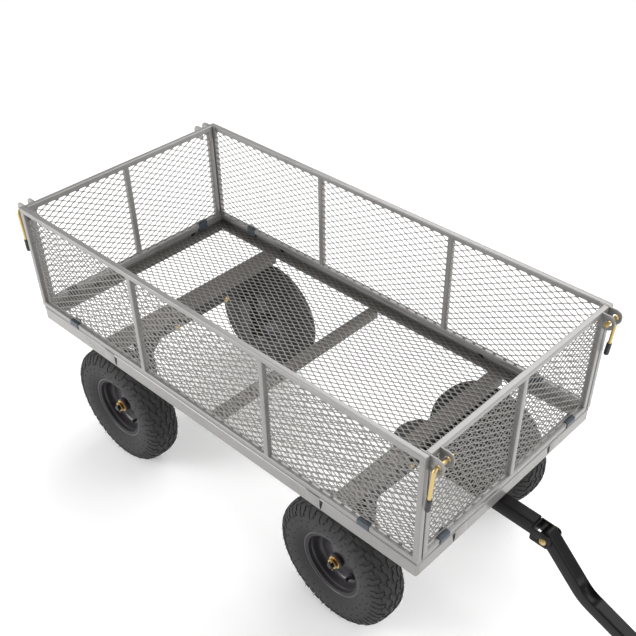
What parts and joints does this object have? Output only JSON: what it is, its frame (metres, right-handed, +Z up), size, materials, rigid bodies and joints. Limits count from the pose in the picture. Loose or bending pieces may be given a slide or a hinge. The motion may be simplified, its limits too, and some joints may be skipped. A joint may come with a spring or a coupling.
{
  "type": "garden cart",
  "caption": "Four-wheel garden cart with an expanded-mesh bed, fold-down mesh sides held by corner pins, pneumatic tyres, a steered front axle and a pull handle.",
  "frame": {"origin": "on the floor, under the middle of the whole cart's length and width with the handle lying forward", "axes": "+X forward to the handle, +Y to the cart's left, +Z up"},
  "size_m": [2.0336, 0.6086, 0.663],
  "materials": {
    "body_paint": "silver-grey powder coat",
    "axle_paint": "satin black powder coat",
    "handle_paint": "satin black powder coat",
    "member_paint": "dull warm grey powder coat",
    "clip_plastic": "moulded nylon, dark slate blue",
    "yellow_zinc": "yellow passivated zinc plate",
    "pin_sleeve": "dipped vinyl",
    "wheel_paint": "gloss black",
    "tyre_rubber": "moulded black rubber",
    "valve_rubber": "black rubber with a plastic cap",
    "foam": "closed-cell foam sleeve"
  },
  "bodies": {
    "bed": {"bed_sides": "body_paint", "bed_ends": "body_paint", "wall_plates": "body_paint", "deck_mesh": "body_paint", "member_rear": "member_paint", "member_mid": "member_paint", "member_front": "member_paint", "rear_beam": "axle_paint", "rear_bolts": "yellow_zinc", "rear_axle_ends": "axle_paint", "rear_washers": "yellow_zinc", "rear_cotters": "yellow_zinc", "turntable_fixed": "axle_paint", "kingpin": "yellow_zinc"},
    "front_axle": {"turntable_turning": "axle_paint", "front_beam": "axle_paint", "front_bolts": "yellow_zinc", "front_axle_ends": "axle_paint", "front_washers": "yellow_zinc", "front_cotters": "yellow_zinc", "tongue": "handle_paint", "clevis": "handle_paint", "pivot_bolt": "yellow_zinc"},
    "handle": {"handle_tube": "handle_paint", "hand_loop": "handle_paint", "foam_grip": "foam"},
    "wheel_rear_right": {"tyre_rear_right": "tyre_rubber", "rim_rear_right": "wheel_paint", "valve_rear_right": "valve_rubber"},
    "wheel_rear_left": {"tyre_rear_left": "tyre_rubber", "rim_rear_left": "wheel_paint", "valve_rear_left": "valve_rubber"},
    "wheel_front_right": {"tyre_front_right": "tyre_rubber", "rim_front_right": "wheel_paint", "valve_front_right": "valve_rubber"},
    "wheel_front_left": {"tyre_front_left": "tyre_rubber", "rim_front_left": "wheel_paint", "valve_front_left": "valve_rubber"},
    "panel_right": {"frame_right": "body_paint", "mesh_right": "body_paint", "clips_right": "clip_plastic"},
    "panel_left": {"frame_left": "body_paint", "mesh_left": "body_paint", "clips_left": "clip_plastic"},
    "panel_front": {"frame_front": "body_paint", "mesh_front": "body_paint", "clips_front": "clip_plastic"},
    "panel_rear": {"frame_rear": "body_paint", "mesh_rear": "body_paint", "clips_rear": "clip_plastic"},
    "latch_front_right": {"pin_front_right": "yellow_zinc", "grip_front_right": "pin_sleeve"},
    "latch_front_left": {"pin_front_left": "yellow_zinc", "grip_front_left": "pin_sleeve"},
    "latch_rear_right": {"pin_rear_right": "yellow_zinc", "grip_rear_right": "pin_sleeve"},
    "latch_rear_left": {"pin_rear_left": "yellow_zinc", "grip_rear_left": "pin_sleeve"}
  },
  "joints": [
    {"name": "steering", "type": "hinge", "parent": "bed", "child": "front_axle", "pos_m": [0.0042, 0, 0.332], "axis": [0, 0, 1], "range_deg": [-38, 42]},
    {"name": "handle_pitch", "type": "hinge", "parent": "front_axle", "child": "handle", "pos_m": [0.34545, -0.01311, 0.3027], "axis": [-0.0384, -0.9993, 0], "range_deg": [0, 118]},
    {"name": "wheel_rear_right_spin", "type": "hinge", "parent": "bed", "child": "wheel_rear_right", "pos_m": [-0.7558, -0.252, 0.161], "axis": [0, 1, 0], "continuous": true},
    {"name": "wheel_rear_left_spin", "type": "hinge", "parent": "bed", "child": "wheel_rear_left", "pos_m": [-0.7558, 0.252, 0.161], "axis": [0, 1, 0], "continuous": true},
    {"name": "wheel_front_right_spin", "type": "hinge", "parent": "front_axle", "child": "wheel_front_right", "pos_m": [-0.00548, -0.25181, 0.161], "axis": [0.0384, 0.9993, 0], "continuous": true},
    {"name": "wheel_front_left_spin", "type": "hinge", "parent": "front_axle", "child": "wheel_front_left", "pos_m": [0.01387, 0.25181, 0.161], "axis": [0.0384, 0.9993, 0], "continuous": true},
    {"name": "fold_right", "type": "hinge", "parent": "bed", "child": "panel_right", "pos_m": [-0.3758, -0.2985, 0.376], "axis": [-1, 0, 0], "range_deg": [-110, 0]},
    {"name": "fold_left", "type": "hinge", "parent": "bed", "child": "panel_left", "pos_m": [-0.3758, 0.2985, 0.376], "axis": [1, 0, 0], "range_deg": [-110, 0]},
    {"name": "fold_front", "type": "hinge", "parent": "bed", "child": "panel_front", "pos_m": [0.2302, 0, 0.376], "axis": [0, -1, 0], "range_deg": [-105, 0]},
    {"name": "fold_rear", "type": "hinge", "parent": "bed", "child": "panel_rear", "pos_m": [-0.9818, 0, 0.376], "axis": [0, 1, 0], "range_deg": [-110, 0]},
    {"name": "latch_front_right_pull", "type": "slide", "parent": "panel_right", "child": "latch_front_right", "axis": [0, 1, 0], "range_m": [-0.04, 0]},
    {"name": "latch_front_left_pull", "type": "slide", "parent": "panel_left", "child": "latch_front_left", "axis": [0, -1, 0], "range_m": [-0.04, 0]},
    {"name": "latch_rear_right_pull", "type": "slide", "parent": "panel_right", "child": "latch_rear_right", "axis": [0, 1, 0], "range_m": [-0.04, 0]},
    {"name": "latch_rear_left_pull", "type": "slide", "parent": "panel_left", "child": "latch_rear_left", "axis": [0, -1, 0], "range_m": [-0.04, 0]}
  ]
}
